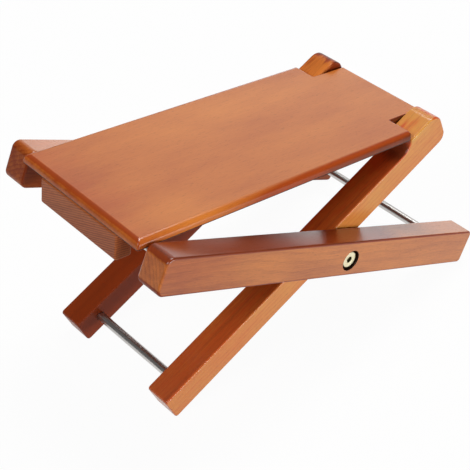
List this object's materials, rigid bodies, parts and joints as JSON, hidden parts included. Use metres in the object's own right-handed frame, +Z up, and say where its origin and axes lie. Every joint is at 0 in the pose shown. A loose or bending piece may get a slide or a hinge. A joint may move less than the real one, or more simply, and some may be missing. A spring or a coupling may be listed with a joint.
{
  "type": "folding guitar footrest",
  "caption": "Folding wooden footrest: a flat tread hinged on crossed legs, caught by a rod between the outer legs and held by recessed pivot bolts.",
  "frame": {"origin": "middle of the footprint, on the floor", "axes": "+X along the tread towards its hinge, +Y from the near leg pair to the far one, +Z up"},
  "size_m": [0.3288, 0.1764, 0.1788],
  "materials": {
    "board_wood": "satin lacquer",
    "leg_wood": "satin lacquer",
    "cleat_wood": "thin lacquer",
    "rack_wood": "bare",
    "polished_steel": "polished",
    "brass_plate": "pale plating",
    "white_nylon": "plain"
  },
  "bodies": {
    "inner_frame": {"inner_leg_near": "leg_wood", "inner_leg_far": "leg_wood", "inner_foot_rod": "polished_steel", "hinge_rod": "polished_steel", "sleeve_nut_near": "brass_plate", "sleeve_nut_far": "brass_plate", "pivot_washer_near": "white_nylon", "pivot_washer_far": "white_nylon"},
    "outer_frame": {"outer_leg_near": "leg_wood", "outer_leg_far": "leg_wood", "outer_foot_rod": "polished_steel", "catch_rod": "polished_steel", "pivot_bolt_near": "brass_plate", "pivot_bolt_far": "brass_plate"},
    "platform": {"top_board": "board_wood", "stop_cleat": "cleat_wood", "hinge_bar": "cleat_wood", "rack_near": "rack_wood", "rack_far": "rack_wood", "cleat_screw_1": "polished_steel", "cleat_screw_2": "polished_steel", "cleat_screw_3": "polished_steel", "rack_screw_near_1": "polished_steel", "rack_screw_near_2": "polished_steel", "rack_screw_far_1": "polished_steel", "rack_screw_far_2": "polished_steel"}
  },
  "joints": [
    {"name": "leg_fold", "type": "hinge", "parent": "inner_frame", "child": "outer_frame", "pos_m": [0.01585, 0, 0.07842], "axis": [0, -1, 0], "range_deg": [0, 48.8]},
    {"name": "tread_lift", "type": "hinge", "parent": "inner_frame", "child": "platform", "pos_m": [0.1155, 0, 0.1236], "axis": [0, 1, 0], "range_deg": [0, 50]}
  ]
}
